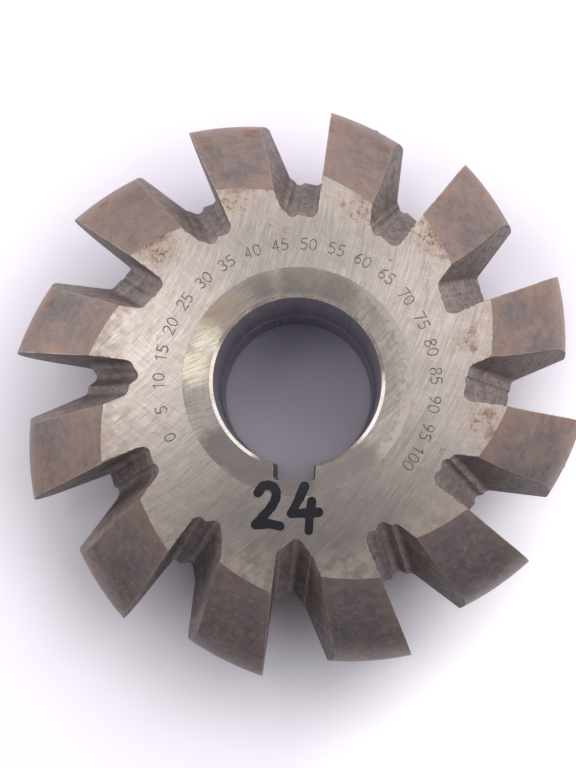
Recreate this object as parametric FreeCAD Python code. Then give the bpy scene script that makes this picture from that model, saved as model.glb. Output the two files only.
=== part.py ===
"""Form-relieved disc milling cutter for the tooth gaps of roller-chain wheels.

One solid: a disc with twelve relieved teeth, roof-floored flutes between them, a keyed bore
and a shallow dish round the bore on each side.  Millimetres, axis along +Z, lower face on z = 0,
keyway towards -Y.
"""
import math
import os
import FreeCAD, Part

# Body of the cutter
outer_diameter = 145.0
cutter_width = 45.0
tooth_count = 12
first_edge_angle = 84.8        # direction of one cutting edge, the keyway being at 270

# Form of the cutting edge: a round tip, then a hollow flank down to the side face
form_depth = 22.85             # tip to the foot of the flank
tip_radius = 12.9
tip_half_angle = 63.0
relief_per_tooth = 7.4         # radial fall of the form over one tooth pitch

# Flutes
tooth_thickness = 12.6         # cutting face to heel, on the side face
flute_angle = 30.0             # between cutting face and heel wall
flute_depth = 10.7             # floor below the foot of the flank, on the side face
flute_rise_angle = 32.5        # floor climbs from both side faces to the middle
floor_tilt_angle = 5.0         # and from the cutting face to the heel wall
flute_corner_radius = 1.8

# Each flute was milled with two cuts.  Per flute, as shares of the floor's width: how much
# deeper the first cut is, then the place and the depth of the round-nosed second cut.
flute_cuts = [
    (0.0, 0.76, 0.03), (0.0, 0.78, 0.02), (0.045, 0.55, 0.0), (0.005, 0.62, -0.02),
    (0.03, 0.64, 0.07), (0.02, 0.61, 0.12), (0.005, 0.57, 0.295), (0.03, 0.65, 0.2),
    (0.12, 0.77, 0.15), (0.06, 0.44, 0.205), (0.02, 0.5, 0.0), (0.04, 0.71, 0.13),
]
second_nose_share = 0.215      # nose radius of the second cut
second_half_angle = 50.0       # between its axis and its sides

# Bore, keyway and the dished faces round the bore
bore_diameter = 40.0
bore_chamfer = 0.8
bore_relief_length = 15.0      # wider middle of the bore
bore_relief_depth = 0.5
keyway_width = 10.0
keyway_depth = 3.5
keyway_corner_radius = 1.0
dish_width = 6.3
dish_depth = 0.6

half_width = cutter_width / 2.0
tip_reach = outer_diameter / 2.0
pitch_angle = 360.0 / tooth_count
foot_reach = tip_reach - form_depth
bore_reach = bore_diameter / 2.0
relief_offset = relief_per_tooth / math.radians(pitch_angle)
floor_reach = foot_reach - flute_depth
spare = 2.0                    # how far the cutting shapes stand past the metal
spare_angle = 2.0              # and each tooth's sweep past its two ends


def placed(angle, along, across, height):
    """Point at a distance along and across (anticlockwise of) the ray at this angle."""
    turn = math.radians(angle)
    x = along * math.cos(turn) - across * math.sin(turn)
    y = along * math.sin(turn) + across * math.cos(turn)
    return FreeCAD.Vector(x, y, half_width + height)


def circle_part(centre, radius, start, end, angle):
    """Arc in the plane of a ray, between two directions measured from the ray."""
    places = []
    for direction in (start, (start + end) / 2.0, end):
        turn = math.radians(direction)
        along = centre[0] + radius * math.cos(turn)
        places.append(placed(angle, along, 0.0, centre[1] + radius * math.sin(turn)))
    return Part.Arc(places[0], places[1], places[2]).toShape()


def flank(angle, side):
    """Hollow flank: leaves the round tip along its tangent and ends on the side face."""
    turn = math.radians(tip_half_angle)
    along = tip_reach - tip_radius + tip_radius * math.cos(turn)
    height = tip_radius * math.sin(turn)
    run = (along - foot_reach) / 2.0
    middle = (along - run, height + run / math.tan(turn))
    knots = [(along, height), middle, (foot_reach, half_width)]
    curve = Part.BezierCurve()
    curve.setPoles([placed(angle, knot[0], 0.0, side * knot[1]) for knot in knots])
    return curve.toShape()


def tooth_blank(angle):
    """The form swept round an axis set off from the bore, so that it falls behind the edge."""
    inner = (bore_reach + floor_reach) / 2.0
    tip_centre = (tip_reach - tip_radius, 0.0)
    lower = [placed(angle, reach, 0.0, -half_width) for reach in (inner, foot_reach)]
    upper = [placed(angle, reach, 0.0, half_width) for reach in (inner, foot_reach)]
    edges = [
        Part.makeLine(lower[0], lower[1]),
        flank(angle, -1.0),
        circle_part(tip_centre, tip_radius, -tip_half_angle, tip_half_angle, angle),
        flank(angle, 1.0),
        Part.makeLine(upper[1], upper[0]),
        Part.makeLine(upper[0], lower[0]),
    ]
    form = Part.Face(Part.Wire(Part.__sortEdges__(edges)))
    axis_place = placed(angle, 0.0, relief_offset, 0.0)
    up = FreeCAD.Vector(0, 0, 1)
    form.rotate(axis_place, up, spare_angle)
    return form.revolve(axis_place, up, -(pitch_angle + spare_angle))


def outline(corners, at):
    """Closed face through corners, each with its place across, its height and its rounding."""
    starts = []
    middles = []
    ends = []
    for number, (across, height, radius) in enumerate(corners):
        back = corners[number - 1]
        ahead = corners[(number + 1) % len(corners)]
        corner = FreeCAD.Vector(across, height, 0)
        to_back = (FreeCAD.Vector(back[0], back[1], 0) - corner).normalize()
        to_ahead = (FreeCAD.Vector(ahead[0], ahead[1], 0) - corner).normalize()
        half = to_back.getAngle(to_ahead) / 2.0
        inward = (to_back + to_ahead).normalize()
        starts.append(corner + to_back * (radius / math.tan(half)))
        middles.append(corner + inward * (radius / math.sin(half) - radius))
        ends.append(corner + to_ahead * (radius / math.tan(half)))
    edges = []
    for number, corner in enumerate(corners):
        start = at(starts[number].x, starts[number].y)
        edges.append(Part.makeLine(at(ends[number - 1].x, ends[number - 1].y), start))
        if corner[2] > 0.0:
            middle = at(middles[number].x, middles[number].y)
            edges.append(Part.Arc(start, middle, at(ends[number].x, ends[number].y)).toShape())
    return Part.Face(Part.Wire(edges))


def flute_section(angle, cuts):
    """Section of a flute just outside the upper side face, square to the floor's rise."""
    first, place, depth = cuts
    rise = math.radians(flute_rise_angle)
    tilt = math.tan(math.radians(floor_tilt_angle))
    lean = math.tan(math.radians(flute_angle))
    pitch = math.radians(pitch_angle)
    heel_reach = foot_reach - relief_per_tooth / 2.0
    heel_across = heel_reach * math.sin(pitch) - tooth_thickness * math.cos(pitch)
    heel_along = heel_reach * math.cos(pitch) + tooth_thickness * math.sin(pitch)
    width = heel_across - (heel_along - floor_reach) * lean
    wall = lean / math.cos(rise)
    floor = floor_reach - spare * math.tan(rise)
    top = (tip_reach + spare - floor) / math.cos(rise)

    def at(across, height):
        out = half_width + spare + height * math.sin(rise)
        return placed(angle, floor + height * math.cos(rise), across, out)

    bend = min(flute_corner_radius, width / 4.0)
    drop = first * width * math.cos(rise)
    foot = (width - wall * drop) / (1.0 - wall * tilt)
    first_cut = outline([
        (0.0, top, 0.0),
        (0.0, -drop, bend),
        (foot, tilt * foot - drop, bend),
        (width + wall * top, top, 0.0),
    ], at)
    half_angle = math.radians(second_half_angle)
    nose = second_nose_share * width
    middle = place * width
    point = -depth * width * math.cos(rise) - nose * (1.0 / math.sin(half_angle) - 1.0)
    rim = tilt * width
    reach = (rim - point) * math.tan(half_angle)
    second_cut = outline([
        (middle - reach, rim, 0.0),
        (middle, point, nose),
        (middle + reach, rim, 0.0),
    ], at)
    between_walls = outline([
        (0.0, top, 0.0),
        (0.0, -width, 0.0),
        (width - wall * width, -width, 0.0),
        (width + wall * top, top, 0.0),
    ], at)
    return first_cut.fuse(second_cut).common(between_walls).removeSplitter().Faces[0]


def flute(angle, cuts):
    """Flute in front of one cutting face: its two halves rise to a ridge in the middle plane."""
    section = flute_section(angle, cuts)
    rise = math.radians(flute_rise_angle)
    highest = section.BoundBox.ZMax - half_width
    run = highest + spare
    travel = placed(angle, run * math.tan(rise), 0.0, -half_width - run)
    upper = section.extrude(travel)
    size = 4.0 * outer_diameter
    below = Part.makeBox(size, size, size, FreeCAD.Vector(-size / 2.0, -size / 2.0, half_width - size))
    upper = upper.cut(below)
    lower = upper.mirror(FreeCAD.Vector(0, 0, half_width), FreeCAD.Vector(0, 0, 1))
    return upper.fuse(lower).removeSplitter()


def bore_cutter():
    """Everything turned out of the middle: bore, its wider part, chamfers and dishes."""
    face_reach = bore_reach + bore_chamfer
    dish_reach = face_reach + dish_width
    relief = bore_relief_length / 2.0
    rim = half_width - dish_depth
    side = [
        (0.0, half_width + spare),
        (dish_reach, half_width + spare),
        (dish_reach, half_width),
        (face_reach, rim),
        (bore_reach, rim - bore_chamfer),
        (bore_reach, relief + bore_relief_depth),
        (bore_reach + bore_relief_depth, relief),
    ]
    outline = side + [(reach, -height) for reach, height in reversed(side)]
    places = [FreeCAD.Vector(reach, 0, half_width + height) for reach, height in outline]
    face = Part.Face(Part.makePolygon(places + places[:1]))
    return face.revolve(FreeCAD.Vector(0, 0, 0), FreeCAD.Vector(0, 0, 1), 360)


def keyway_cutter():
    """Slot towards -Y with rounded bottom corners."""
    low = -(bore_reach + keyway_depth)
    reach = keyway_width / 2.0
    corners = [
        (-reach, 0.0, 0.0),
        (-reach, low, keyway_corner_radius),
        (reach, low, keyway_corner_radius),
        (reach, 0.0, 0.0),
    ]
    slot = outline(corners, lambda across, height: FreeCAD.Vector(across, height, -spare))
    return slot.extrude(FreeCAD.Vector(0, 0, cutter_width + 2.0 * spare))


def cutter_body():
    """Blank with relieved teeth, then the flutes, the bore and the keyway taken out of it."""
    edge_angles = [first_edge_angle - pitch_angle * number for number in range(tooth_count)]
    hub_reach = (bore_reach + 3.0 * floor_reach) / 4.0
    body = Part.makeCylinder(hub_reach, cutter_width)
    body = body.fuse([tooth_blank(angle) for angle in edge_angles])
    body = body.removeSplitter()
    for number, angle in enumerate(edge_angles):
        body = body.cut(flute(angle, flute_cuts[number % len(flute_cuts)]))
    body = body.cut(bore_cutter())
    body = body.cut(keyway_cutter())
    return body.Solids[0]


os.makedirs("parts", exist_ok=True)
cutter = cutter_body()
cutter.exportStep("parts/cutter_body.step")
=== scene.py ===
"""Looks of the form-relieved cutter: ground side faces, stained teeth and flutes, soft light."""
import math

import bmesh
import bpy
from mathutils import Matrix, Vector, noise
from mathutils.geometry import delaunay_2d_cdt


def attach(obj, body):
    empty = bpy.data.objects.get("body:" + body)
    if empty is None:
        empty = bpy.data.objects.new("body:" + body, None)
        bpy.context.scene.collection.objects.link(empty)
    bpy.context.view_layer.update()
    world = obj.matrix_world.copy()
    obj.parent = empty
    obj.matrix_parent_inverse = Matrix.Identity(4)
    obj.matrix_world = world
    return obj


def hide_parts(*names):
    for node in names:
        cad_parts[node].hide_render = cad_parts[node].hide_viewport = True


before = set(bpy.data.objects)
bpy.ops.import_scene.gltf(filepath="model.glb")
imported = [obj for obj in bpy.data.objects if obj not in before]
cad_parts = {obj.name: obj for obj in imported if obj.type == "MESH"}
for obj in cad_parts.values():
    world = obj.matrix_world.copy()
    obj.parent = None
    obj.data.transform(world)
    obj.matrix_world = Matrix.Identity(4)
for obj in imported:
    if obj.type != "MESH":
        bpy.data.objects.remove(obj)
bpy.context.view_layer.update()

MM = 0.001

# The solid's own sizes, in millimetres and degrees
WIDTH = 45.0
HALF = WIDTH / 2.0
TEETH = 12
PITCH = 360.0 / TEETH
FIRST_EDGE = 84.8            # direction of one cutting edge
FLOOR_REACH = 38.95          # flute floor on the side faces
FLOOR_RISE = math.radians(32.5)
RELIEF = 7.4                 # fall of the tooth form over one pitch
DISH_REACH = 27.1
DISH_FOOT = 20.8
DISH_DEPTH = 0.6
DISH_MIDDLE = 24.0
BORE_REACH = 20.0
CHAMFER = 0.8
LEVEL = 0.9999               # a face whose normal is this steep lies level
SLACK = 0.01

# Grinding marks: the middles of the wheels' paths, and their usual reach
FACE_WHEEL = (-92.0, 55.0, 0.0)
CROSSING_WHEEL = (70.0, 150.0, 0.0)
DISH_WHEEL = (-60.0, 75.0, 0.0)
WHEEL_REACH = 110.0

# Engraved figures
FIGURE_COUNT = 21
FIGURE_STEP = 5
FIGURE_REACH = 31.3
FIGURE_HEIGHT = 2.7
FIGURE_ADVANCE = 2.15        # from one figure of a number to the next
FIGURE_STROKE = 0.29
FIRST_FIGURE = 206.0         # direction of the first number
FIGURE_TURN = 11.9           # from one number to the next
ENGRAVING_DEPTH = 0.12

# Figures written in ink
INK_STROKE = 2.15
INK_UNEVENNESS = 0.18

# Wear of the long sharp edges
EDGE_PIECE = 0.6             # length that an edge is divided into
EDGE_WEAR = 0.12
EDGE_GRAIN = 0.22
NICK_START = 0.30            # share of the noise above which a nick begins
NICK_DEPTH = 2.4
SHARP_TURN = math.radians(22.0)

# Floor, lamps and camera: places in metres, turns in radians, the lens in millimetres
FLOOR_SIZE = 3.0
FLOOR_DROP = 0.0002          # keeps the floor clear of the part's underside
PART_MIDDLE = (0.0, 0.0, 0.03)
CEILING_LEVEL = 0.04
LENS = 49.15
SENSOR = 36.0
CAMERA_PLACE = (0.0024076, -0.0231718, 0.2904117)
CAMERA_TURNS = {"Z": -0.0323, "X": -0.0905, "Y": -0.0184}


# Shader nodes

def fill(tree, inputs, values):
    """Links or sets inputs by name or number."""
    for name, value in values.items():
        if isinstance(value, bpy.types.NodeSocket):
            tree.links.new(value, inputs[name])
        else:
            inputs[name].default_value = value


def put(tree, kind, values=None, **settings):
    """Adds a node, sets its properties, then links or sets its inputs."""
    made = tree.nodes.new("ShaderNode" + kind)
    for name, value in settings.items():
        setattr(made, name, value)
    fill(tree, made.inputs, values or {})
    return made


def maths(tree, operation, first, second=0.0, third=0.0, clamp=False):
    """Result of one Math node."""
    values = {0: first, 1: second, 2: third}
    return put(tree, "Math", values, operation=operation, use_clamp=clamp).outputs[0]


def times(tree, first, second):
    """Product of two values."""
    return maths(tree, "MULTIPLY", first, second)


def larger(tree, first, second):
    """The larger of two values."""
    return maths(tree, "MAXIMUM", first, second)


def vector_maths(tree, operation, values):
    """Outputs of one Vector Math node."""
    return put(tree, "VectorMath", values, operation=operation).outputs


def along(tree, place, way):
    """Distance of a place along a direction."""
    return vector_maths(tree, "DOT_PRODUCT", {0: place, 1: way})["Value"]


def ramp(tree, value, low, high, start=0.0, end=1.0):
    """Value taken smoothly from one range to another."""
    made = put(
        tree, "MapRange", {"Value": value, 1: low, 2: high, 3: start, 4: end},
        interpolation_type="SMOOTHSTEP",
    )
    return made.outputs[0]


def blend_colour(tree, share, first, second):
    """Two colours mixed by a share."""
    made = put(tree, "Mix", data_type="RGBA")
    fill(tree, made.inputs, {0: share, 6: first, 7: second})
    return made.outputs[2]


def coat(tree, under, mask, colour, share=None):
    """A colour laid over another where the mask says, at most at the share."""
    amount = mask if share is None else times(tree, mask, share)
    return blend_colour(tree, amount, under, colour)


def grain(tree, place, scale, detail=4.0, roughness=0.6, distortion=0.0):
    """Noise value at a place."""
    values = {
        "Vector": place, "Scale": scale, "Detail": detail,
        "Roughness": roughness, "Distortion": distortion,
    }
    return put(tree, "TexNoise", values).outputs["Fac"]


def shade_group(name, inputs, outputs):
    """Empty shader node group with named sockets; returns its tree and its two end nodes."""
    tree = bpy.data.node_groups.new(name, "ShaderNodeTree")
    kinds = {"value": "NodeSocketFloat", "vector": "NodeSocketVector", "colour": "NodeSocketColor"}
    for socket, kind in inputs.items():
        tree.interface.new_socket(socket, in_out="INPUT", socket_type=kinds[kind])
    for socket, kind in outputs.items():
        tree.interface.new_socket(socket, in_out="OUTPUT", socket_type=kinds[kind])
    return tree, tree.nodes.new("NodeGroupInput"), tree.nodes.new("NodeGroupOutput")


def use_group(tree, group, values):
    """Outputs of a node group placed in a material with its own values."""
    made = tree.nodes.new("ShaderNodeGroup")
    made.node_tree = group
    fill(tree, made.inputs, values)
    return made.outputs


def tooth_places_group():
    """Places on a tooth: arc behind its edge, reach, and places along its form and its flute."""
    tree, given, result = shade_group(
        "tooth_places", {"Place": "vector"},
        {"Behind": "value", "Reach": "value", "Form Sweep": "vector", "Flute Sweep": "vector"},
    )
    parts = put(tree, "SeparateXYZ", {"Vector": given.outputs["Place"]}).outputs
    squares = times(tree, parts[0], parts[0])
    squares = maths(tree, "MULTIPLY_ADD", parts[1], parts[1], squares)
    reach = maths(tree, "SQRT", squares)
    turn = maths(tree, "ARCTAN2", parts[1], parts[0])
    pitch = math.radians(PITCH)
    past_first = maths(tree, "SUBTRACT", math.radians(FIRST_EDGE), turn)
    count = maths(tree, "DIVIDE", past_first, pitch)
    share = maths(tree, "FRACT", count)
    behind = times(tree, times(tree, share, pitch), reach)
    height = maths(tree, "ABSOLUTE", maths(tree, "SUBTRACT", parts[2], HALF))

    profile = maths(tree, "MULTIPLY_ADD", share, RELIEF, reach)
    form = put(tree, "CombineXYZ", {0: profile, 1: height, 2: behind}).outputs[0]

    ahead = times(tree, maths(tree, "SUBTRACT", 1.0, share), pitch)
    across = times(tree, reach, maths(tree, "SINE", ahead))
    outward = times(tree, reach, maths(tree, "COSINE", ahead))
    lift = times(tree, outward, math.cos(FLOOR_RISE))
    lift = maths(tree, "MULTIPLY_ADD", height, math.sin(FLOOR_RISE), lift)
    travel = times(tree, outward, math.sin(FLOOR_RISE))
    travel = maths(tree, "MULTIPLY_ADD", height, -math.cos(FLOOR_RISE), travel)
    flute = put(tree, "CombineXYZ", {0: across, 1: lift, 2: travel}).outputs[0]
    places = {"Behind": behind, "Reach": reach, "Form Sweep": form, "Flute Sweep": flute}
    fill(tree, result.inputs, places)
    return tree


def drawn_marks_group():
    """Marks drawn out along the third axis of a place: fine lines, broad bands and deep scores."""
    tree, given, result = shade_group(
        "drawn_marks", {"Place": "vector", "Fineness": "value", "Length": "value", "Seed": "value"},
        {"Tone": "value", "Score": "value", "Glint": "value"},
    )
    parts = put(tree, "SeparateXYZ", {"Vector": given.outputs["Place"]}).outputs
    shortness = maths(tree, "DIVIDE", 1.0, given.outputs["Length"])

    def streaks(fineness, length, shift, detail):
        scale = times(tree, given.outputs["Fineness"], fineness)
        moved = maths(tree, "ADD", given.outputs["Seed"], shift)
        spot = {
            0: maths(tree, "MULTIPLY_ADD", parts[0], scale, moved),
            1: maths(tree, "MULTIPLY_ADD", parts[1], scale, moved),
            2: times(tree, times(tree, parts[2], shortness), length),
        }
        place = put(tree, "CombineXYZ", spot).outputs[0]
        return grain(tree, place, 1.0, detail, 0.62)

    fine = streaks(1.0, 1.0, 0.0, 3.0)
    broad = streaks(0.24, 0.5, 17.3, 2.0)
    deep = streaks(0.62, 1.4, 43.1, 1.0)
    bright = streaks(0.8, 1.7, 71.7, 1.0)
    tone = maths(tree, "MULTIPLY_ADD", fine, 0.72, times(tree, broad, 0.28))
    score = ramp(tree, deep, 0.62, 0.74)
    glint = ramp(tree, bright, 0.64, 0.76)
    fill(tree, result.inputs, {"Tone": tone, "Score": score, "Glint": glint})
    return tree


def wheel_place_group():
    """Place turned into distance from, and arc round, the middle of a grinding wheel's path."""
    tree, given, result = shade_group(
        "wheel_place", {"Place": "vector", "Centre": "vector"}, {"Place": "vector"},
    )
    ends = {0: given.outputs["Place"], 1: given.outputs["Centre"]}
    away = vector_maths(tree, "SUBTRACT", ends)[0]
    parts = put(tree, "SeparateXYZ", {"Vector": away}).outputs
    squares = times(tree, parts[0], parts[0])
    reach = maths(tree, "SQRT", maths(tree, "MULTIPLY_ADD", parts[1], parts[1], squares))
    arc = times(tree, maths(tree, "ARCTAN2", parts[1], parts[0]), WHEEL_REACH)
    place = put(tree, "CombineXYZ", {0: reach, 1: 0.0, 2: arc}).outputs[0]
    fill(tree, result.inputs, {"Place": place})
    return tree


def ragged_place_group():
    """Place shaken a little, so that what is drawn on it gets ragged outlines."""
    tree, given, result = shade_group(
        "ragged_place", {"Place": "vector", "Scale": "value", "Shake": "value"}, {"Place": "vector"},
    )
    place = given.outputs["Place"]
    values = {"Vector": place, "Scale": given.outputs["Scale"], "Detail": 4.0, "Roughness": 0.7}
    cloud = put(tree, "TexNoise", values).outputs["Color"]
    centred = vector_maths(tree, "SUBTRACT", {0: cloud, 1: (0.5, 0.5, 0.5)})[0]
    shaken = vector_maths(tree, "SCALE", {0: centred, "Scale": given.outputs["Shake"]})[0]
    moved = vector_maths(tree, "ADD", {0: place, 1: shaken})[0]
    fill(tree, result.inputs, {"Place": moved})
    return tree


def stain_group():
    """Ragged stains: a broad cloud broken up by finer grain."""
    tree, given, result = shade_group(
        "ragged_stains",
        {"Place": "vector", "Scale": "value", "Start": "value", "Soft": "value"},
        {"Mask": "value", "Grain": "value"},
    )
    place = given.outputs["Place"]
    cloud = grain(tree, place, given.outputs["Scale"], 6.0, 0.68, 0.4)
    finer = grain(tree, place, times(tree, given.outputs["Scale"], 6.0), 3.0, 0.6)
    mixed = maths(tree, "MULTIPLY_ADD", cloud, 0.75, times(tree, finer, 0.25))
    end = maths(tree, "ADD", given.outputs["Start"], given.outputs["Soft"])
    mask = ramp(tree, mixed, given.outputs["Start"], end)
    fill(tree, result.inputs, {"Mask": mask, "Grain": finer})
    return tree


def spot_group():
    """One soft round spot."""
    tree, given, result = shade_group(
        "stain_spot", {"Place": "vector", "Centre": "vector", "Radius": "value"}, {"Mask": "value"},
    )
    ends = {0: given.outputs["Place"], 1: given.outputs["Centre"]}
    away = vector_maths(tree, "DISTANCE", ends)["Value"]
    share = maths(tree, "DIVIDE", away, given.outputs["Radius"])
    fill(tree, result.inputs, {"Mask": ramp(tree, share, 1.15, 0.45)})
    return tree


def edge_group():
    """Where the surface turns sharply: a thin line on the edge and a broader band beside it."""
    tree, given, result = shade_group("sharp_edges", {"Reach": "value"}, {"Line": "value", "Band": "value"})
    rounded = put(tree, "Bevel", {"Radius": given.outputs["Reach"]}, samples=8).outputs["Normal"]
    flat = tree.nodes.new("ShaderNodeNewGeometry").outputs["Normal"]
    agree = along(tree, rounded, flat)
    line = ramp(tree, agree, 0.94, 0.82)
    band = ramp(tree, agree, 0.999, 0.93)
    fill(tree, result.inputs, {"Line": line, "Band": band})
    return tree


def rust_group():
    """Colours of rust, from dark brown to orange."""
    tree, given, result = shade_group("rust_colours", {"Place": "vector"}, {"Colour": "colour"})
    cloud = grain(tree, given.outputs["Place"], 0.9, 5.0, 0.7)
    lighter = ramp(tree, cloud, 0.35, 0.58)
    colour = blend_colour(tree, lighter, (0.105, 0.048, 0.027, 1), (0.25, 0.105, 0.045, 1))
    colour = coat(tree, colour, ramp(tree, cloud, 0.55, 0.75), (0.42, 0.20, 0.075, 1))
    fill(tree, result.inputs, {"Colour": colour})
    return tree


TOOTH_PLACES = tooth_places_group()
DRAWN_MARKS = drawn_marks_group()
WHEEL_PLACE = wheel_place_group()
RAGGED_PLACE = ragged_place_group()
STAINS = stain_group()
SPOT = spot_group()
EDGES = edge_group()
RUST = rust_group()


def marks_on(tree, place, fineness, length, seed):
    """Drawn marks along the third axis of a place."""
    values = {"Place": place, "Fineness": fineness, "Length": length, "Seed": seed}
    return use_group(tree, DRAWN_MARKS, values)


def wheel_path(tree, place, centre):
    """Place seen from the middle of a grinding wheel's path."""
    return use_group(tree, WHEEL_PLACE, {"Place": place, "Centre": centre})["Place"]


def shaken_place(tree, place, scale, shake):
    """Place with ragged outlines."""
    return use_group(tree, RAGGED_PLACE, {"Place": place, "Scale": scale, "Shake": shake})["Place"]


def stains_on(tree, place, scale, start, soft):
    """Ragged stains of one size."""
    return use_group(tree, STAINS, {"Place": place, "Scale": scale, "Start": start, "Soft": soft})


# Materials

def new_material(name):
    """Material with its tree, its Principled shader and the place on the part in millimetres."""
    made = bpy.data.materials.new(name)
    made.use_nodes = True
    tree = made.node_tree
    shader = tree.nodes["Principled BSDF"]
    place = tree.nodes.new("ShaderNodeTexCoord").outputs["Object"]
    scaled = put(tree, "VectorMath", {0: place, "Scale": 1000.0}, operation="SCALE").outputs[0]
    return made, tree, shader, scaled


def connect(tree, shader, **sockets):
    """Links or sets the shader's inputs, with words joined by underlines."""
    fill(tree, shader.inputs, {name.replace("_", " "): value for name, value in sockets.items()})


def bump(tree, height, strength, distance):
    """Normal from a height."""
    values = {"Height": height, "Strength": strength, "Distance": distance}
    return put(tree, "Bump", values).outputs["Normal"]


def spots_mask(tree, place, spots):
    """Largest of several spots, each with its centre and radius."""
    mask = 0.0
    for x, y, z, radius in spots:
        spot = use_group(tree, SPOT, {"Place": place, "Centre": (x, y, z), "Radius": radius})["Mask"]
        mask = spot if isinstance(mask, float) else larger(tree, mask, spot)
    return mask


def ground_steel(name, seed, height, rust_spots, tarnish_spots):
    """Side face: ground bright in long arcs, crossed by scratches, tarnished and rust-spotted."""
    made, tree, shader, place = new_material(name)
    first = wheel_path(tree, place, FACE_WHEEL)
    marks = marks_on(tree, first, 4.0, 7.0, seed)
    second = wheel_path(tree, place, CROSSING_WHEEL)
    crossing = marks_on(tree, second, 4.6, 5.0, seed + 5.0)
    ragged = shaken_place(tree, place, 0.7, 4.2)
    stains = stains_on(tree, place, 0.13, 0.58, 0.14)
    clouds = stains_on(tree, place, 0.06, 0.32, 0.34)
    pits = stains_on(tree, place, 0.75, 0.53, 0.07)
    blotches = stains_on(tree, place, 0.38, 0.47, 0.2)
    edges = use_group(tree, EDGES, {"Reach": 0.0007})
    teeth = use_group(tree, TOOTH_PLACES, {"Place": place})
    reach = teeth["Reach"]
    rust = use_group(tree, RUST, {"Place": place})["Colour"]

    crossed = ramp(tree, grain(tree, place, 0.14, 4.0), 0.42, 0.6, 0.1, 0.5)
    tone = maths(tree, "SUBTRACT", crossing["Tone"], marks["Tone"])
    tone = maths(tree, "MULTIPLY_ADD", tone, crossed, marks["Tone"])
    colour = blend_colour(tree, ramp(tree, tone, 0.40, 0.60), (0.52, 0.46, 0.44, 1), (0.78, 0.70, 0.68, 1))
    colour = coat(tree, colour, clouds["Mask"], (0.40, 0.355, 0.34, 1), 0.28)
    colour = coat(tree, colour, blotches["Mask"], (0.40, 0.35, 0.33, 1), 0.3)
    # Painted shade: the face darker towards -y, the keyway's side.
    towards_painted_shade = along(tree, place, (0.05, -1.0, 0.0))
    colour = coat(tree, colour, ramp(tree, towards_painted_shade, 4.0, 42.0, 0.0, 0.38), (0.30, 0.266, 0.262, 1))
    colour = coat(tree, colour, marks["Score"], (0.25, 0.215, 0.205, 1), 0.3)
    colour = coat(tree, colour, crossing["Score"], (0.27, 0.235, 0.225, 1), 0.2)
    colour = coat(tree, colour, marks["Glint"], (0.90, 0.83, 0.79, 1), 0.24)
    colour = coat(tree, colour, crossing["Glint"], (0.88, 0.81, 0.77, 1), 0.1)

    roots = ramp(tree, reach, 36.0, 49.0)
    border = put(tree, "SeparateXYZ", {"Vector": teeth["Form Sweep"]}).outputs[0]
    border = ramp(tree, border, 48.0, 49.3)
    tarnish = times(tree, roots, ramp(tree, clouds["Grain"], 0.3, 0.7))
    marked = spots_mask(tree, ragged, [(x, y, height, r) for x, y, r in tarnish_spots])
    tarnish = larger(tree, tarnish, marked)
    colour = coat(tree, colour, tarnish, (0.40, 0.29, 0.215, 1), 0.5)
    speckled = times(tree, pits["Mask"], maths(tree, "MULTIPLY_ADD", marked, 0.75, times(tree, roots, 0.2)))
    spotted = spots_mask(tree, ragged, [(x, y, height, r) for x, y, r in rust_spots])
    spotted = times(tree, spotted, ramp(tree, pits["Grain"], 0.36, 0.6, 0.1, 0.85))
    rimmed = times(tree, times(tree, edges["Band"], roots), ramp(tree, stains["Grain"], 0.46, 0.62))
    rusty = larger(tree, times(tree, stains["Mask"], 0.25), larger(tree, spotted, speckled))
    rusty = larger(tree, rusty, times(tree, rimmed, 0.8))
    bordered = times(tree, border, ramp(tree, pits["Grain"], 0.38, 0.58))
    rusty = larger(tree, rusty, times(tree, bordered, marked))
    colour = coat(tree, colour, rusty, rust)
    # Edges: a light line, part wear and part painted highlight.
    wear_and_edge_highlight = times(tree, edges["Line"], ramp(tree, stains["Grain"], 0.56, 0.44))
    colour = coat(tree, colour, wear_and_edge_highlight, (0.92, 0.87, 0.80, 1), 0.75)
    dull = larger(tree, rusty, times(tree, tarnish, 0.5))
    level = maths(tree, "MULTIPLY_ADD", marks["Score"], -0.6, marks["Tone"])
    level = maths(tree, "MULTIPLY_ADD", crossing["Score"], -0.4, level)
    connect(
        tree, shader, Base_Color=colour,
        Roughness=maths(tree, "MULTIPLY_ADD", dull, 0.3, 0.30),
        Metallic=maths(tree, "MULTIPLY_ADD", dull, -0.6, 0.92),
        Normal=bump(tree, level, 0.4, 0.00003),
    )
    return made


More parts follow.
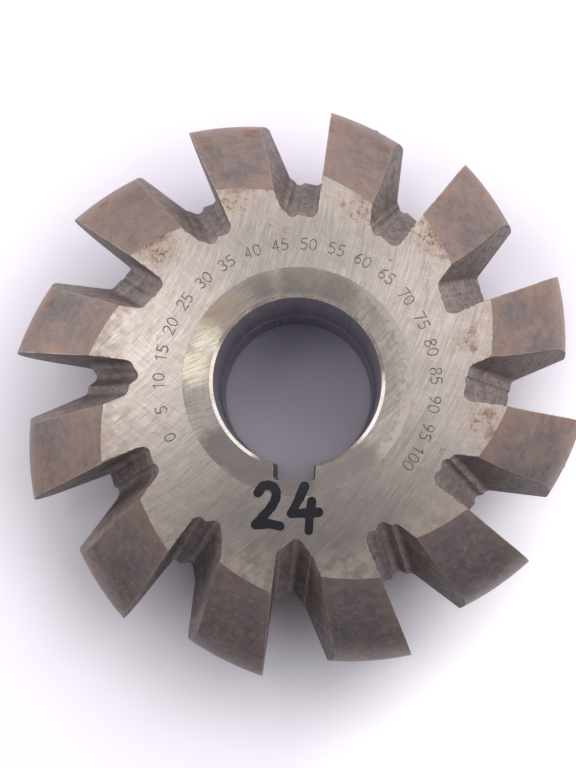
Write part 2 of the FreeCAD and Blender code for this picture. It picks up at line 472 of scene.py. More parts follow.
def stained_tooth(name, rust_spots):
    """Relieved flanks and tips: brown-grey tarnish, browner along the edges, with rust stains."""
    made, tree, shader, place = new_material(name)
    teeth = use_group(tree, TOOTH_PLACES, {"Place": place})
    marks = marks_on(tree, teeth["Form Sweep"], 1.9, 7.0, 3.0)
    ragged = shaken_place(tree, place, 0.25, 7.0)
    shaken = use_group(tree, TOOTH_PLACES, {"Place": ragged})
    clouds = stains_on(tree, place, 0.085, 0.37, 0.22)
    blots = stains_on(tree, place, 0.42, 0.36, 0.3)
    stains = stains_on(tree, place, 0.16, 0.54, 0.16)
    flecks = stains_on(tree, place, 0.9, 0.61, 0.06)
    rust = use_group(tree, RUST, {"Place": place})["Colour"]
    edges = use_group(tree, EDGES, {"Reach": 0.0008})

    colour = blend_colour(tree, clouds["Mask"], (0.098, 0.083, 0.088, 1), (0.222, 0.148, 0.128, 1))
    colour = coat(tree, colour, ramp(tree, marks["Tone"], 0.38, 0.62), (0.245, 0.190, 0.172, 1), 0.25)
    lower = along(tree, place, (0.15, -0.95, 0.0))
    lower = ramp(tree, lower, 12.0, 50.0)
    # Dark blots of dirt, stronger on the lower teeth, where they add painted shade.
    darkened = times(tree, blots["Mask"], maths(tree, "MULTIPLY_ADD", lower, 0.5, 0.35))
    colour = coat(tree, colour, darkened, (0.060, 0.049, 0.052, 1))
    sandy = ramp(tree, grain(tree, place, 2.6, 2.0), 0.5, 0.72, 0.0, 0.25)
    colour = coat(tree, colour, sandy, (0.28, 0.22, 0.19, 1))
    clouded = maths(tree, "MULTIPLY_ADD", clouds["Mask"], 0.8, 0.2)
    front = ramp(tree, shaken["Behind"], 4.5, 0.5)
    tips = ramp(tree, shaken["Reach"], 63.5, 68.5)
    roots = ramp(tree, shaken["Reach"], 53.0, 49.5)
    border = larger(tree, larger(tree, front, tips), times(tree, roots, 0.8))
    border = times(tree, border, ramp(tree, clouds["Grain"], 0.28, 0.62, 0.35, 1.0))
    colour = coat(tree, colour, border, (0.275, 0.170, 0.122, 1), 0.5)
    uneven = ramp(tree, flecks["Grain"], 0.34, 0.6, 0.2, 0.8)
    spotted = times(tree, spots_mask(tree, ragged, rust_spots), uneven)
    rusty = maths(tree, "MULTIPLY_ADD", border, 0.45, 0.25)
    rusty = larger(tree, times(tree, stains["Mask"], rusty), spotted)
    rusty = larger(tree, rusty, times(tree, flecks["Mask"], 0.5))
    colour = coat(tree, colour, rusty, rust)
    # Edges: a lighter brown band of wear, with a light line on it that is part wear and part painted
    # highlight.
    wear_and_edge_highlight = times(tree, edges["Band"], ramp(tree, stains["Grain"], 0.36, 0.6))
    colour = coat(tree, colour, wear_and_edge_highlight, (0.36, 0.27, 0.21, 1), 0.35)
    colour = coat(tree, colour, times(tree, edges["Line"], wear_and_edge_highlight), (0.55, 0.47, 0.40, 1), 0.5)
    # Painted shade: the lower teeth darker and bluer.
    colour = coat(tree, colour, lower, (0.062, 0.058, 0.072, 1), 0.42)
    mottles = ramp(tree, grain(tree, place, 0.55, 3.0, 0.5), 0.55, 0.66)
    mottles = times(tree, mottles, times(tree, lower, times(tree, clouded, 0.5)))
    colour = coat(tree, colour, mottles, (0.225, 0.168, 0.12, 1))
    glints = ramp(tree, grain(tree, place, 1.0, 1.0), 0.70, 0.76)
    glints = times(tree, glints, maths(tree, "MULTIPLY_ADD", lower, 0.14, 0.04))
    colour = coat(tree, colour, glints, (0.46, 0.42, 0.38, 1))
    level = maths(tree, "MULTIPLY_ADD", stains["Grain"], 0.9, marks["Tone"])
    connect(
        tree, shader, Base_Color=colour, Metallic=0.3,
        Roughness=maths(tree, "MULTIPLY_ADD", rusty, 0.3, 0.44),
        Normal=bump(tree, level, 0.35, 0.00007),
    )
    return made


def milled_flute(name, rust_spots):
    """Flute walls and floors: dark, with streaks along the travel of the flute cutter."""
    made, tree, shader, place = new_material(name)
    teeth = use_group(tree, TOOTH_PLACES, {"Place": place})
    marks = marks_on(tree, teeth["Flute Sweep"], 1.5, 6.0, 9.0)
    clouds = stains_on(tree, place, 0.12, 0.36, 0.24)
    blots = stains_on(tree, place, 0.42, 0.4, 0.2)
    stains = stains_on(tree, place, 0.2, 0.53, 0.16)
    ragged = shaken_place(tree, place, 0.4, 4.0)
    rust = use_group(tree, RUST, {"Place": place})["Colour"]
    edges = use_group(tree, EDGES, {"Reach": 0.0007})
    colour = blend_colour(tree, clouds["Mask"], (0.150, 0.125, 0.124, 1), (0.275, 0.213, 0.192, 1))
    colour = coat(tree, colour, ramp(tree, marks["Tone"], 0.38, 0.62), (0.36, 0.29, 0.27, 1), 0.4)
    colour = coat(tree, colour, blots["Mask"], (0.062, 0.050, 0.049, 1), 0.58)
    colour = coat(tree, colour, marks["Score"], (0.05, 0.041, 0.040, 1), 0.45)
    spotted = spots_mask(tree, ragged, rust_spots)
    rusty = larger(tree, times(tree, stains["Mask"], 0.38), times(tree, spotted, 0.72))
    colour = coat(tree, colour, rusty, rust)
    # Edges: a light line, part wear and part painted highlight.
    wear_and_edge_highlight = times(tree, edges["Line"], ramp(tree, stains["Grain"], 0.40, 0.58))
    colour = coat(tree, colour, wear_and_edge_highlight, (0.46, 0.38, 0.32, 1), 0.55)
    level = maths(tree, "MULTIPLY_ADD", marks["Score"], -0.5, marks["Tone"])
    level = maths(tree, "MULTIPLY_ADD", blots["Grain"], 0.6, level)
    connect(
        tree, shader, Base_Color=colour, Metallic=0.2,
        Roughness=maths(tree, "MULTIPLY_ADD", rusty, 0.2, 0.56),
        Normal=bump(tree, level, 0.9, 0.0002),
    )
    return made


def turned_steel(name, low, high, tint, stain_start, roughness, seed, stains_and_painted_light=(), edge_share=0.5):
    """Turned ring or bore: fine lines round the axis, smeared with tarnish, with listed patches of stain,
    painted highlight and painted shade.
    """
    made, tree, shader, place = new_material(name)
    parts = put(tree, "SeparateXYZ", {"Vector": place}).outputs
    reach = use_group(tree, TOOTH_PLACES, {"Place": place})["Reach"]
    arc = times(tree, maths(tree, "ARCTAN2", parts[1], parts[0]), DISH_MIDDLE)
    round_axis = put(tree, "CombineXYZ", {0: reach, 1: parts[2], 2: arc}).outputs[0]
    turned = marks_on(tree, round_axis, 2.4, 16.0, seed)
    first = wheel_path(tree, place, DISH_WHEEL)
    marks = marks_on(tree, first, 3.2, 6.0, seed + 3.0)
    stains = stains_on(tree, place, 0.12, stain_start, 0.2)
    edges = use_group(tree, EDGES, {"Reach": 0.0004})["Line"]
    tone = maths(tree, "MULTIPLY_ADD", turned["Tone"], 0.25, times(tree, marks["Tone"], 0.75))
    colour = blend_colour(tree, ramp(tree, tone, 0.39, 0.61), low, high)
    colour = coat(tree, colour, marks["Glint"], (0.80, 0.73, 0.66, 1), 0.35)
    colour = coat(tree, colour, stains["Mask"], tint, 0.4)
    faded = ramp(tree, stains["Grain"], 0.3, 0.7, DISH_REACH - 4.6, DISH_REACH - 1.6)
    fade = ramp(tree, maths(tree, "SUBTRACT", reach, faded), 0.0, 2.4)
    fade = times(tree, fade, ramp(tree, parts[0], 2.0, 18.0, 0.15, 1.0))
    colour = coat(tree, colour, fade, (0.62, 0.555, 0.53, 1), 0.85)
    matt = 0.0
    ragged = shaken_place(tree, place, 0.35, 5.0)
    # Patches: stains, painted highlights and painted shade, as listed; light patches are also made less
    # metallic.
    for spots, patch_colour, share, streaks in stains_and_painted_light:
        streaked = ramp(tree, marks["Tone"], 0.42, 0.56, 1.0 - streaks, 1.0)
        mask = times(tree, spots_mask(tree, ragged, spots), streaked)
        colour = coat(tree, colour, mask, patch_colour, share)
        matt = maths(tree, "MULTIPLY_ADD", mask, patch_colour[0] - 0.4, matt)
    # Painted highlight: a light line along the sharp edges.
    colour = coat(tree, colour, edges, (0.85, 0.79, 0.72, 1), edge_share)
    level = maths(tree, "MULTIPLY_ADD", marks["Score"], -0.4, tone)
    connect(
        tree, shader, Base_Color=colour,
        Metallic=maths(tree, "MULTIPLY_ADD", matt, -0.9, 0.9, clamp=True),
        Roughness=maths(tree, "MULTIPLY_ADD", stains["Mask"], 0.15, roughness),
        Normal=bump(tree, level, 0.3, 0.00004),
    )
    return made


def marker_ink(name):
    """Black marker ink."""
    made, tree, shader, place = new_material(name)
    uneven = stains_on(tree, place, 0.5, 0.3, 0.4)
    colour = blend_colour(tree, uneven["Mask"], (0.005, 0.005, 0.010, 1), (0.014, 0.013, 0.022, 1))
    connect(tree, shader, Base_Color=colour, Metallic=0.0, Roughness=0.55, Specular_IOR_Level=0.3)
    return made


def engraved_steel(name):
    """Bottom and sides of the engraved strokes: darker than the face round them."""
    made, tree, shader, place = new_material(name)
    uneven = stains_on(tree, place, 0.6, 0.38, 0.24)
    colour = blend_colour(tree, uneven["Mask"], (0.10, 0.088, 0.082, 1), (0.36, 0.315, 0.29, 1))
    connect(tree, shader, Base_Color=colour, Metallic=0.6, Roughness=0.5)
    return made


# Strokes of the numbers on the side face

DIGITS = {
    "0": [[
        (0.3, 1.0), (0.08, 0.85), (0.0, 0.5), (0.08, 0.15), (0.3, 0.0), (0.52, 0.15), (0.6, 0.5),
        (0.52, 0.85), (0.3, 1.0),
    ]],
    "1": [[(0.1, 0.78), (0.34, 1.0), (0.34, 0.0)]],
    "2": [[
        (0.03, 0.78), (0.12, 0.95), (0.3, 1.0), (0.5, 0.93), (0.57, 0.72), (0.48, 0.5), (0.0, 0.0),
        (0.6, 0.0),
    ]],
    "3": [[
        (0.04, 0.88), (0.28, 1.0), (0.52, 0.88), (0.52, 0.66), (0.26, 0.54), (0.54, 0.42), (0.56, 0.16),
        (0.3, 0.0), (0.02, 0.14),
    ]],
    "4": [[(0.42, 0.0), (0.42, 1.0), (0.0, 0.3), (0.6, 0.3)]],
    "5": [[
        (0.54, 1.0), (0.12, 1.0), (0.07, 0.56), (0.3, 0.62), (0.54, 0.5), (0.57, 0.2), (0.3, 0.0),
        (0.02, 0.12),
    ]],
    "6": [[
        (0.48, 1.0), (0.15, 0.7), (0.02, 0.32), (0.14, 0.05), (0.32, 0.0), (0.54, 0.12), (0.56, 0.38),
        (0.34, 0.54), (0.08, 0.42),
    ]],
    "7": [[(0.0, 1.0), (0.6, 1.0), (0.22, 0.0)]],
    "8": [[
        (0.3, 0.54), (0.06, 0.7), (0.1, 0.94), (0.3, 1.0), (0.5, 0.94), (0.54, 0.7), (0.3, 0.54),
        (0.02, 0.36), (0.05, 0.08), (0.3, 0.0), (0.55, 0.08), (0.58, 0.36), (0.3, 0.54),
    ]],
    "9": [[
        (0.52, 0.58), (0.28, 0.46), (0.04, 0.6), (0.06, 0.88), (0.28, 1.0), (0.5, 0.92), (0.57, 0.66),
        (0.45, 0.3), (0.12, 0.0),
    ]],
}


def stroke_outline(start, end, width, points=4):
    """Closed outline of one straight stroke with round ends, anticlockwise."""
    course = (end - start).normalized()
    side = Vector((-course.y, course.x))
    places = []
    for step in range(points + 1):
        turn = math.pi * step / points
        places.append(end + (course * math.sin(turn) - side * math.cos(turn)) * width / 2.0)
    for step in range(points + 1):
        turn = math.pi * step / points
        places.append(start + (side * math.cos(turn) - course * math.sin(turn)) * width / 2.0)
    return places


def lettered_strokes(text, place, height, width, points):
    """Outlines of a number's strokes; place takes a figure's own spot to the face."""
    outlines = []
    for number, figure in enumerate(text):
        for line in DIGITS.get(figure, []):
            spots = [place(number, Vector(spot) * height) for spot in line]
            for start, end in zip(spots, spots[1:]):
                outlines.append(stroke_outline(start, end, width, points))
    return outlines


def ring_figures():
    """Engraved figures round the bore, as on a dial."""
    outlines = []
    for step in range(FIGURE_COUNT):
        text = str(FIGURE_STEP * step)
        middle = math.radians(FIRST_FIGURE - FIGURE_TURN * step)

        def place(number, spot, count=len(text), middle=middle):
            advance = (number - (count - 1) / 2.0) * FIGURE_ADVANCE + spot.x - 0.3 * FIGURE_HEIGHT
            turn = middle - advance / (FIGURE_REACH + FIGURE_HEIGHT / 2.0)
            return Vector((math.cos(turn), math.sin(turn))) * (FIGURE_REACH + spot.y)

        outlines += lettered_strokes(text, place, FIGURE_HEIGHT, FIGURE_STROKE, 2)
    return outlines


def rounded_line(spots, steps=5):
    """Smooth line through the spots."""
    ends = [spots[0] * 2.0 - spots[1]] + spots + [spots[-1] * 2.0 - spots[-2]]
    line = [spots[0]]
    for a, b, c, d in zip(ends, ends[1:], ends[2:], ends[3:]):
        for step in range(1, steps + 1):
            t = step / steps
            curve = b * 2.0 + (c - a) * t + (a * 2.0 - b * 5.0 + c * 4.0 - d) * t * t
            line.append((curve + (b * 3.0 - a - c * 3.0 + d) * t ** 3) * 0.5)
    return line


def ink_figures():
    """Two figures written by hand below the keyway."""
    outlines = []
    curved = [(-8.3, -26.6), (-7.0, -24.9), (-4.9, -25.0), (-4.0, -27.0), (-5.2, -29.9), (-8.6, -33.9)]
    lines = [
        rounded_line([Vector(spot) for spot in curved]),
        [Vector(spot) for spot in ((-8.6, -33.9), (-5.4, -33.6), (-2.9, -34.1))],
        [Vector(spot) for spot in ((2.5, -24.7), (1.4, -27.5), (-0.4, -31.1), (2.6, -30.9), (5.9, -30.6))],
        [Vector(spot) for spot in ((4.3, -28.1), (3.9, -31.5), (3.8, -35.0))],
    ]
    for number, line in enumerate(lines):
        for step, (start, end) in enumerate(zip(line, line[1:])):
            width = INK_STROKE + INK_UNEVENNESS * math.sin(2.1 * step + number)
            outlines.append(stroke_outline(start, end, width, 8))
    return outlines


# The cutter's mesh

SURFACES = [
    "front_face", "back_face", "dish", "bore_rim", "bore_wall",
    "keyway", "tooth_form", "flute", "ink", "engraving",
]


def surface_of(face):
    """Name of the surface that a face of the solid belongs to."""
    centre = face.calc_center_median() / MM
    normal = face.normal
    reach = math.hypot(centre.x, centre.y)
    if normal.z > LEVEL and centre.z > WIDTH - SLACK:
        return "front_face"
    if normal.z < -LEVEL and centre.z < SLACK:
        return "back_face"
    outward = Vector((centre.x, centre.y, 0.0)).normalized()
    if reach < DISH_REACH + 0.1:
        if abs(normal.z) > 0.9:
            return "dish"
        if reach > BORE_REACH + CHAMFER + SLACK or abs(normal.dot(outward)) < 0.6:
            return "keyway"
        chamfered = abs(normal.z) > 0.3 and abs(centre.z - HALF) > 15.0
        return "bore_rim" if chamfered else "bore_wall"
    height = abs(centre.z - HALF)
    if reach < FLOOR_REACH + math.tan(FLOOR_RISE) * (HALF - height) + 3.5:
        return "flute"
    around = Vector((-centre.y, centre.x, 0.0)).normalized()
    return "flute" if abs(normal.dot(around)) > 0.5 else "tooth_form"


def loops_of(edges):
    """Vertices of closed loops of edges, in order, the widest loop first."""
    ahead = {}
    for edge in edges:
        for vert in edge.verts:
            ahead.setdefault(vert, []).append(edge)
    left = set(edges)
    loops = []
    for edge in edges:
        if edge not in left:
            continue
        left.remove(edge)
        first, vert = edge.verts
        loop = [first]
        while vert is not first:
            loop.append(vert)
            edge = next(other for other in ahead[vert] if other in left)
            left.remove(edge)
            vert = edge.other_vert(vert)
        loops.append(loop)
    return sorted(loops, key=lambda loop: -max(math.hypot(v.co.x, v.co.y) for v in loop))


def area_of(places):
    """Signed area of a closed outline."""
    pairs = zip(places, places[1:] + places[:1])
    return sum(a.x * b.y - b.x * a.y for a, b in pairs) / 2.0


def redraw_surface(mesh, name, height_at, drawn):
    """Cuts an upper surface along drawn outlines; returns the new faces of each kind of surface."""
    number = SURFACES.index(name)
    middle = HALF * MM
    old = [f for f in mesh.faces if f.material_index == number and f.calc_center_median().z > middle]
    inside = set(old)
    rim = [edge for edge in mesh.edges if sum(face in inside for face in edge.link_faces) == 1]
    loops = loops_of(rim)
    bmesh.ops.delete(mesh, geom=old, context="FACES_KEEP_BOUNDARY")
    # Corners that the neighbouring surface, if cut before this one, has on the shared rim
    hanging = {vert for edge in mesh.edges if edge.is_boundary for vert in edge.verts}
    places = []
    corners = []
    owners = {}
    for loop in loops:
        start = len(places)
        flat = [Vector((v.co.x / MM, v.co.y / MM)) for v in loop]
        if area_of(flat) < 0.0:
            flat.reverse()
            loop.reverse()
        owners.update({start + step: vert for step, vert in enumerate(loop)})
        places += flat
        corners.append(list(range(start, len(places))))
    kinds = [name] * len(corners)
    for kind, outlines in drawn:
        for outline in outlines:
            start = len(places)
            places += outline
            corners.append(list(range(start, len(places))))
            kinds.append(kind)
    found = delaunay_2d_cdt(places, [], corners, 0, 1e-5, True)
    verts = []
    for spot, sources in zip(found[0], found[3]):
        known = [owners[source] for source in sources if source in owners]
        if not known:
            known = [vert for vert in hanging if (vert.co.xy / MM - spot).length < 0.002]
        if not known:
            known = [mesh.verts.new((spot.x * MM, spot.y * MM, height_at(spot) * MM))]
        verts.append(known[0])
    made = {kind: [] for kind in kinds}
    for face, sources in zip(found[2], found[5]):
        if 0 not in sources or 1 in sources:
            continue
        kind = kinds[max(sources)]
        new = mesh.faces.new([verts[corner] for corner in face])
        new.material_index = SURFACES.index(kind)
        made[kind].append(new)
    bmesh.ops.delete(mesh, geom=[e for e in mesh.edges if not e.link_faces], context="EDGES")
    bmesh.ops.delete(mesh, geom=[v for v in mesh.verts if not v.link_faces], context="VERTS")
    return made


def dish_height(spot):
    """Height of the upper dish at a place."""
    share = (DISH_REACH - spot.length) / (DISH_REACH - DISH_FOOT)
    return WIDTH - DISH_DEPTH * share


def engrave(mesh, faces):
    """Sinks faces into the part and gives the walls round them the same surface."""
    sunk = bmesh.ops.extrude_face_region(mesh, geom=faces)["geom"]
    bmesh.ops.delete(mesh, geom=faces, context="FACES_KEEP_BOUNDARY")
    lowered = [item for item in sunk if isinstance(item, bmesh.types.BMVert)]
    bmesh.ops.translate(mesh, verts=lowered, vec=(0.0, 0.0, -ENGRAVING_DEPTH * MM))
    mesh.normal_update()
    for item in sunk:
        if isinstance(item, bmesh.types.BMFace):
            for edge in item.edges:
                for side in edge.link_faces:
                    if abs(side.normal.z) < 0.5:
                        side.material_index = SURFACES.index("engraving")


def roughen_edges(mesh):
    """Divides the long sharp edges and eats a little metal away from them, with a few deeper nicks."""
    # Surfaces whose shared edges wear here; their materials also paint a highlight line on these edges.
    wear_and_edge_highlight = [SURFACES.index(name) for name in ("front_face", "back_face", "tooth_form", "flute")]
    parted = {}
    for edge in mesh.edges:
        kinds = {face.material_index for face in edge.link_faces}
        if len(kinds) < 2 or not kinds.issubset(wear_and_edge_highlight):
            continue
        cuts = int(edge.calc_length() / (EDGE_PIECE * MM))
        if cuts > 0:
            parted.setdefault(cuts, []).append(edge)
    fresh = set()
    for cuts in sorted(parted):
        made = bmesh.ops.subdivide_edges(mesh, edges=parted[cuts], cuts=cuts)["geom_inner"]
        fresh.update(item for item in made if isinstance(item, bmesh.types.BMVert))
    mesh.normal_update()
    flat = {SURFACES.index("front_face"), SURFACES.index("back_face")}
    moves = []
    for vert in mesh.verts:
        if vert not in fresh:
            continue
        spot = vert.co / MM
        amount = EDGE_WEAR * (1.0 + noise.noise(spot * 1.1)) + EDGE_GRAIN * abs(noise.noise(spot * 3.7))
        nick = noise.noise(spot * 0.35 + Vector((7.0, 3.0, 1.0)))
        amount += NICK_DEPTH * max(0.0, nick - NICK_START) * abs(noise.noise(spot * 2.3))
        kinds = {face.material_index for face in vert.link_faces}
        way = Vector((0.0, 0.0, 0.0))
        for face in vert.link_faces:
            if not (kinds & flat and face.material_index in flat):
                way -= face.normal
        if kinds & flat:
            way.z = 0.0
        if way.length > 1e-6:
            moves.append((vert, way.normalized() * amount * MM))
    for vert, move in moves:
        vert.co += move
    wide = [face for face in mesh.faces if len(face.verts) > 3]
    bmesh.ops.triangulate(mesh, faces=wide)


def add_object(name, mesh):
    """Object in the scene made of a finished mesh."""
    data = bpy.data.meshes.new(name)
    mesh.to_mesh(data)
    mesh.free()
    made = bpy.data.objects.new(name, data)
    bpy.context.scene.collection.objects.link(made)
    return made


def make_cutter(materials):
    """The whole cutter as one piece, with a material for each kind of surface."""
    mesh = bmesh.new()
    mesh.from_mesh(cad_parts["cutter_body"].data)
    bmesh.ops.remove_doubles(mesh, verts=mesh.verts, dist=1e-7)
    for face in mesh.faces:
        face.material_index = SURFACES.index(surface_of(face))
    roughen_edges(mesh)
    figures = ink_figures()
    drawn = [("ink", figures), ("engraving", ring_figures())]
    made = redraw_surface(mesh, "front_face", lambda spot: WIDTH, drawn)
    engrave(mesh, made["engraving"])
    redraw_surface(mesh, "dish", dish_height, [("ink", figures)])
    bmesh.ops.recalc_face_normals(mesh, faces=mesh.faces)
    for face in mesh.faces:
        face.smooth = True
    for edge in mesh.edges:
        kinds = {SURFACES[face.material_index] for face in edge.link_faces}
        turned = len(edge.link_faces) == 2 and edge.calc_face_angle() > SHARP_TURN
        parted = len(kinds) > 1 and kinds & {"front_face", "back_face"} and "ink" not in kinds
        edge.smooth = not (turned or parted)
    piece = add_object("cutter", mesh)
    for name in SURFACES:
        piece.data.materials.append(materials[name])
    weighted = piece.modifiers.new("even_normals", "WEIGHTED_NORMAL")
    weighted.keep_sharp = True
    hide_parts("cutter_body")
    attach(piece, "root")
    return piece


# Burrs: place near the surface that each clings to, and its size
BURRS = [
    (17.9, 66.4, 26.0, 0.55), (48.6, 49.6, 24.0, 0.5), (54.2, 6.5, 22.0, 0.55), (-41.0, -57.5, 23.0, 0.6),
    (-4.9, -69.0, 23.0, 0.45), (-27.0, -37.5, 30.0, 0.5), (-60.5, -6.4, 26.0, 0.7), (19.4, 59.7, 27.0, 0.4),
    (41.0, 52.8, 22.0, 0.4), (63.0, -15.5, 24.0, 0.4), (20.0, -42.0, 8.0, 0.5), (-48.0, 30.0, 9.0, 0.5),
    (50.0, 40.0, 12.0, 0.5), (-20.0, 62.0, 10.0, 0.45),
]


def make_burrs(piece, material):
    """Small flakes of rust and torn metal that cling to the teeth and flutes."""
    mesh = bmesh.new()
    for number, (x, y, z, size) in enumerate(BURRS):
        spot, normal = piece.closest_point_on_mesh(Vector((x, y, z)) * MM)[1:3]
        turn = normal.to_track_quat("Z", "Y").to_matrix().to_4x4() @ Matrix.Rotation(1.9 * number, 4, "Z")
        flake = bmesh.ops.create_icosphere(mesh, subdivisions=2, radius=size * MM)["verts"]
        for vert in flake:
            shake = noise.noise(vert.co / MM * 2.1 + Vector((number, 0.0, 0.0)))
            vert.co *= 0.8 + 0.6 * shake
            vert.co.x *= 1.5
            vert.co.z *= 0.45
        bmesh.ops.transform(mesh, matrix=Matrix.Translation(spot) @ turn, verts=flake)
    burrs = add_object("burrs", mesh)
    burrs.data.materials.append(material)
    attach(burrs, "root")


# Floor, light and camera

def seen_directly(tree):
    """One for rays that see a surface from the camera, in a mirror or through something clear."""
    path = tree.nodes.new("ShaderNodeLightPath").outputs
    seen = maths(tree, "ADD", path["Is Camera Ray"], path["Is Glossy Ray"])
    return maths(tree, "ADD", seen, path["Is Transmission Ray"], clamp=True)


def make_floor():
    """Plain pale floor that brightens away from the part, as the photograph's does."""
    mesh = bmesh.new()
    bmesh.ops.create_grid(mesh, x_segments=8, y_segments=8, size=FLOOR_SIZE)
    floor = add_object("floor", mesh)
    floor.location = (0.0, 0.0, -FLOOR_DROP)
    made, tree, shader, place = new_material("pale_floor")
    reach = vector_maths(tree, "LENGTH", {0: place})["Value"]
    # Painted light: for rays seen directly the floor glows, more the further it lies from the part.
    clear = ramp(tree, reach, 50.0, 115.0, 0.0, 0.25)
    clear = maths(tree, "ADD", clear, ramp(tree, reach, 160.0, 1200.0, 0.0, 0.72))
    clear = maths(tree, "ADD", clear, ramp(tree, reach, 72.0, 100.0, 0.0, 0.1))
    # Painted light: a brighter pool on the side towards +x and -y.
    painted_light_side = along(tree, place, (0.89, -0.45, 0.0))
    clear = maths(tree, "ADD", clear, ramp(tree, painted_light_side, 40.0, 85.0, 0.0, 0.4))
    connect(
        tree, shader, Base_Color=(0.88, 0.85, 0.97, 1), Roughness=0.75,
        Emission_Color=(1.0, 0.97, 1.0, 1),
        Emission_Strength=times(tree, seen_directly(tree), clear),
    )
    floor.data.materials.append(made)


# Lamps: place, size, power and colour
PANELS = {
    "back_panel": ((0.18, 0.66, 0.58), (1.1, 0.8), 5.7, (1.0, 0.985, 0.97)),
    "left_panel": ((-0.46, 0.12, 0.60), (0.6, 0.7), 1.05, (1.0, 0.97, 0.93)),
    "right_panel": ((0.58, 0.08, 0.46), (0.8, 0.8), 2.9, (1.0, 0.98, 0.96)),
    "low_left_panel": ((-0.8, 0.35, 0.36), (0.7, 0.6), 2.8, (1.0, 0.98, 0.96)),
    "high_left_panel": ((-0.21, 0.12, 0.95), (0.16, 0.16), 0.32, (1.0, 0.97, 0.92)),
    "high_right_panel": ((0.2, 0.16, 0.95), (0.3, 0.3), 0.36, (1.0, 0.97, 0.92)),
}


def add_panel(name, place, size, power, colour):
    """Soft rectangular lamp aimed at the part."""
    lamp = bpy.data.lights.new(name, "AREA")
    lamp.shape = "RECTANGLE"
    lamp.size, lamp.size_y = size
    lamp.energy = power
    lamp.color = colour
    holder = bpy.data.objects.new(name, lamp)
    holder.location = place
    way = Vector(PART_MIDDLE) - Vector(place)
    holder.rotation_euler = way.to_track_quat("-Z", "Y").to_euler()
    bpy.context.scene.collection.objects.link(holder)


def make_light():
    """Pale walls, brighter behind and to the left, a dim ceiling, and soft panels."""
    world = bpy.data.worlds.new("studio")
    bpy.context.scene.world = world
    world.use_nodes = True
    tree = world.node_tree
    tree.nodes.clear()
    way = tree.nodes.new("ShaderNodeTexCoord").outputs["Generated"]
    height = put(tree, "SeparateXYZ", {"Vector": way}).outputs[2]
    walls = ramp(tree, height, 0.65, 0.45)
    level_way = vector_maths(tree, "MULTIPLY", {0: way, 1: (1.0, 1.0, 0.0)})[0]
    level_way = vector_maths(tree, "NORMALIZE", {0: level_way})[0]
    window = ramp(tree, along(tree, level_way, (-0.6, 0.8, 0.0)), -0.4, 0.6, 0.06, 0.42)
    wall = larger(tree, seen_directly(tree), window)
    wall = maths(tree, "SUBTRACT", wall, CEILING_LEVEL)
    level = maths(tree, "MULTIPLY_ADD", walls, wall, CEILING_LEVEL)
    lit = put(tree, "Background", {"Color": (0.96, 0.95, 1.0, 1), "Strength": level})
    out = tree.nodes.new("ShaderNodeOutputWorld")
    tree.links.new(lit.outputs[0], out.inputs["Surface"])
    for name, (place, size, power, colour) in PANELS.items():
        add_panel(name, place, size, power, colour)


def make_camera():
    """Camera above the part, a little towards the keyway, turned as the photograph is."""
    lens = bpy.data.cameras.new("camera")
    lens.sensor_width = SENSOR
    lens.lens = LENS
    lens.clip_start = 0.01
    lens.clip_end = 20.0
    camera = bpy.data.objects.new("camera", lens)
    turn = Matrix.Identity(4)
    for axis, angle in CAMERA_TURNS.items():
        turn = turn @ Matrix.Rotation(angle, 4, axis)
    camera.matrix_world = Matrix.Translation(CAMERA_PLACE) @ turn.transposed()
    bpy.context.scene.collection.objects.link(camera)
    bpy.context.scene.camera = camera


def on_circle(reach, angle, height, radius):
    """Spot at a reach and an angle round the axis."""
    turn = math.radians(angle)
    return reach * math.cos(turn), reach * math.sin(turn), height, radius


# Stains, finishes and painted light

# On the two side faces: place and radius of each spot
FRONT_RUST = [
    (-15.1, 45.6, 1.4), (-12.2, 46.1, 1.4), (-9.1, 46.4, 1.4), (-38.6, 29.6, 1.2), (-4.2, 35.9, 0.8),
    (-7.4, 36.8, 0.6), (14.1, 43.7, 1.2), (15.4, 40.8, 1.2), (16.2, 38.4, 1.0), (9.6, 42.6, 1.0),
    (28.5, 38.5, 0.8), (30.3, 34.0, 0.9), (33.9, 30.5, 1.2), (20.9, 29.6, 0.7), (40.8, 13.2, 1.4),
    (41.1, 8.9, 1.4), (45.2, -6.7, 1.6), (45.4, -10.7, 1.6), (20.1, -18.2, 0.8), (34.3, -15.5, 0.8),
]
FRONT_TARNISH = [
    (-16.2, 42.6, 4.2), (-34.0, 31.0, 5.4), (31.0, 34.5, 5.0), (43.0, -8.0, 4.0),
    (25.7, -4.3, 2.0), (12.5, 41.5, 3.6), (39.5, 11.0, 3.0),
]
BACK_RUST = [
    (18.0, 43.0, 1.6), (-30.0, 34.0, 1.4), (-41.0, -10.0, 1.5), (22.0, -38.0, 1.4), (39.0, 17.0, 1.0),
    (-8.0, 34.0, 0.8), (-26.0, -22.0, 0.9), (5.0, -40.0, 1.2),
]
BACK_TARNISH = [(20.0, 40.0, 5.0), (-38.0, -12.0, 5.0), (26.0, -30.0, 4.5), (-24.0, 34.0, 4.0)]

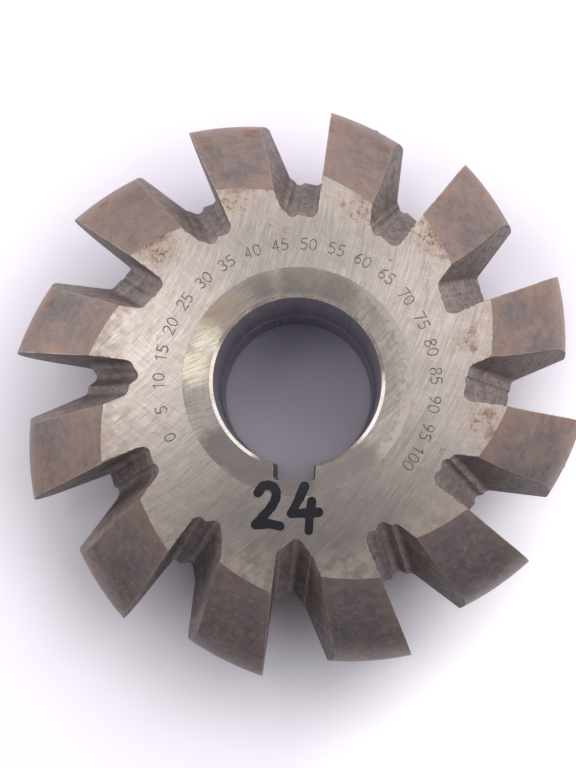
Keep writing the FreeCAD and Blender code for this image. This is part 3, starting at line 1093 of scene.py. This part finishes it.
# On teeth and flutes: place, with its height, and radius
TOOTH_RUST = [
    (-41.0, -44.3, 34.0, 2.0), (-24.3, 58.9, 34.0, 1.6), (-14.0, 64.0, 32.0, 2.4), (20.1, 60.5, 34.0, 1.8),
    (43.9, 50.1, 33.0, 1.2), (60.3, 22.8, 32.0, 2.0), (16.7, -52.8, 36.0, 1.6), (14.5, -61.1, 31.0, 1.4),
    (50.2, -43.3, 32.0, 2.2), (-50.8, 44.9, 32.0, 2.0), (-63.0, 19.2, 33.0, 1.6), (38.0, -42.0, 38.0, 1.5),
    (-62.0, -20.0, 10.0, 2.2), (30.0, 55.0, 11.0, 2.0), (-20.0, -60.0, 12.0, 2.0), (58.0, -10.0, 9.0, 2.0),
]
FLUTE_RUST = [
    (-33.0, -31.0, 38.0, 2.6), (-43.0, 4.5, 40.0, 2.4), (21.5, 41.0, 41.0, 2.0), (44.0, 5.0, 38.0, 2.2),
    (-12.0, -44.0, 36.0, 2.6), (38.0, -27.0, 36.0, 2.4), (-40.0, -20.0, 33.0, 3.0), (8.0, 47.0, 34.0, 2.0),
]
UMBER = (0.15, 0.10, 0.075, 1)
DULL = (0.26, 0.225, 0.205, 1)

# On the turned surfaces: spots, their colour, its share and how much the marks break it up; stains, painted
# highlights and painted shade
# Painted highlights: bright patches low on the rim and at its sides.
RIM_PAINTED_HIGHLIGHTS = [
    (
        [(-17.5, -10.0, 44.0, 8.0), (-13.0, -15.0, 44.0, 6.0), (18.0, -9.0, 44.0, 7.0)],
        (1.0, 0.96, 0.90, 1), 0.9, 0.2,
    ),
    ([(-20.2, 2.0, 44.0, 7.0), (20.2, -3.0, 44.0, 6.0)], (1.0, 0.88, 0.76, 1), 0.85, 0.2),
]
# Painted shade: the lower part of the dish darker.
LEFT_PAINTED_SHADE = [on_circle(24.0, angle, 44.7, 6.5) for angle in range(224, 284, 15)]
RIGHT_PAINTED_SHADE = [on_circle(24.5, angle, 44.7, 5.5) for angle in range(284, 312, 9)]
DISH_STAINS_AND_PAINTED_LIGHT = [
    # Golden patch at the left: part stain, part painted highlight.
    ([(-24.6, 2.5, 44.6, 5.6), (-22.4, 9.5, 44.6, 5.0)], (1.0, 0.93, 0.76, 1), 1.0, 0.6),
    # Brown stain at the upper left.
    ([(-17.5, 17.0, 44.6, 5.0), (-21.0, 13.5, 44.6, 3.5)], (0.55, 0.41, 0.29, 1), 0.6, 0.6),
    (LEFT_PAINTED_SHADE, (0.19, 0.168, 0.173, 1), 0.85, 0.15),
    (RIGHT_PAINTED_SHADE, (0.21, 0.186, 0.19, 1), 0.7, 0.15),
    # Darker patch at the top.
    (
        [(0.0, 23.5, 44.6, 6.0), (9.0, 22.5, 44.6, 6.0), (-9.0, 22.5, 44.6, 4.0)],
        (0.22, 0.195, 0.19, 1), 0.5, 0.5,
    ),
]
finishes = {
    "front_face": ground_steel("ground_front", 0.0, WIDTH, FRONT_RUST, FRONT_TARNISH),
    "back_face": ground_steel("ground_back", 31.0, 0.0, BACK_RUST, BACK_TARNISH),
    "dish": turned_steel(
        "turned_dish", (0.37, 0.33, 0.318, 1), (0.60, 0.535, 0.512, 1), DULL,
        stain_start=0.45, roughness=0.32, seed=0.0, stains_and_painted_light=DISH_STAINS_AND_PAINTED_LIGHT,
    ),
    "bore_rim": turned_steel(
        "bright_rim", (0.26, 0.215, 0.19, 1), (0.42, 0.355, 0.315, 1), UMBER,
        stain_start=0.44, roughness=0.25, seed=7.0, stains_and_painted_light=RIM_PAINTED_HIGHLIGHTS, edge_share=0.2,
    ),
    "bore_wall": turned_steel(
        "turned_bore", (0.32, 0.30, 0.36, 1), (0.46, 0.44, 0.50, 1), UMBER,
        stain_start=0.55, roughness=0.42, seed=12.0, edge_share=0.15,
    ),
    "keyway": turned_steel(
        "broached_keyway", (0.16, 0.145, 0.14, 1), (0.27, 0.25, 0.24, 1), UMBER,
        stain_start=0.42, roughness=0.4, seed=21.0,
    ),
    "tooth_form": stained_tooth("stained_tooth", TOOTH_RUST),
    "flute": milled_flute("milled_flute", FLUTE_RUST),
    "ink": marker_ink("marker_ink"),
    "engraving": engraved_steel("engraved_steel"),
}
cutter = make_cutter(finishes)
make_burrs(cutter, finishes["flute"])
make_floor()
make_light()
make_camera()

bpy.context.scene.view_settings.view_transform = "Standard"
